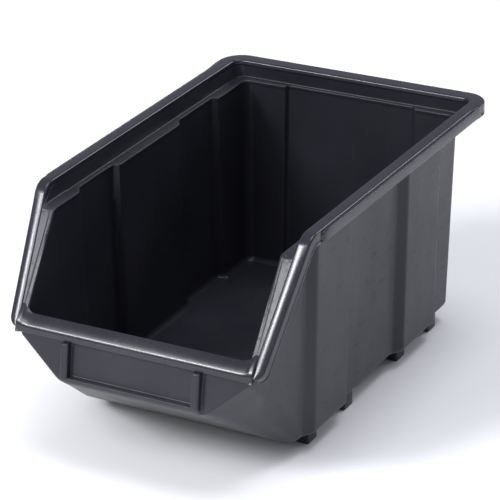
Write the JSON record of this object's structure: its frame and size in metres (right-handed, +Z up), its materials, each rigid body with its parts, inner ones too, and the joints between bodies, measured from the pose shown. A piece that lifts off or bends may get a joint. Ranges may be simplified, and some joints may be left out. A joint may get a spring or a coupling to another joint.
{
  "type": "open-front stacking crate",
  "caption": "Black moulded plastic stacking bin with a sloped open front, a rolled rim, a stacking ledge and a label holder on the nose.",
  "frame": {"origin": "middle of the crate's length and width, at the height of the underside of the feet", "axes": "+Z up; -Y towards the low sloped open front with the label holder, +Y towards the back wall; +X to the right seen from the front"},
  "size_m": [0.1548, 0.2496, 0.125],
  "materials": {
    "black_plastic": "semi-gloss"
  },
  "bodies": {
    "root": {"back_centre_panel": "black_plastic", "back_ledge_band": "black_plastic", "back_rim_rail": "black_plastic", "floor_pan": "black_plastic", "front_lip": "black_plastic", "label_panel": "black_plastic", "label_sill": "black_plastic", "left_back_corner": "black_plastic", "left_cheek": "black_plastic", "left_front_flange": "black_plastic", "left_front_foot": "black_plastic", "left_front_middle_foot": "black_plastic", "left_front_pilaster": "black_plastic", "left_front_side_panel": "black_plastic", "left_label_rib": "black_plastic", "left_ledge_band": "black_plastic", "left_ledge_corner": "black_plastic", "left_middle_side_panel": "black_plastic", "left_rear_foot": "black_plastic", "left_rear_middle_foot": "black_plastic", "left_rear_pilaster": "black_plastic", "left_rear_side_panel": "black_plastic", "left_rim_corner": "black_plastic", "left_rim_rail": "black_plastic", "left_rim_strip": "black_plastic", "nose_underside": "black_plastic", "right_back_corner": "black_plastic", "right_cheek": "black_plastic", "right_front_flange": "black_plastic", "right_front_foot": "black_plastic", "right_front_middle_foot": "black_plastic", "right_front_pilaster": "black_plastic", "right_front_side_panel": "black_plastic", "right_label_rib": "black_plastic", "right_ledge_band": "black_plastic", "right_ledge_corner": "black_plastic", "right_middle_side_panel": "black_plastic", "right_rear_foot": "black_plastic", "right_rear_middle_foot": "black_plastic", "right_rear_pilaster": "black_plastic", "right_rear_side_panel": "black_plastic", "right_rim_corner": "black_plastic", "right_rim_rail": "black_plastic", "right_rim_strip": "black_plastic"}
  },
  "joints": []
}
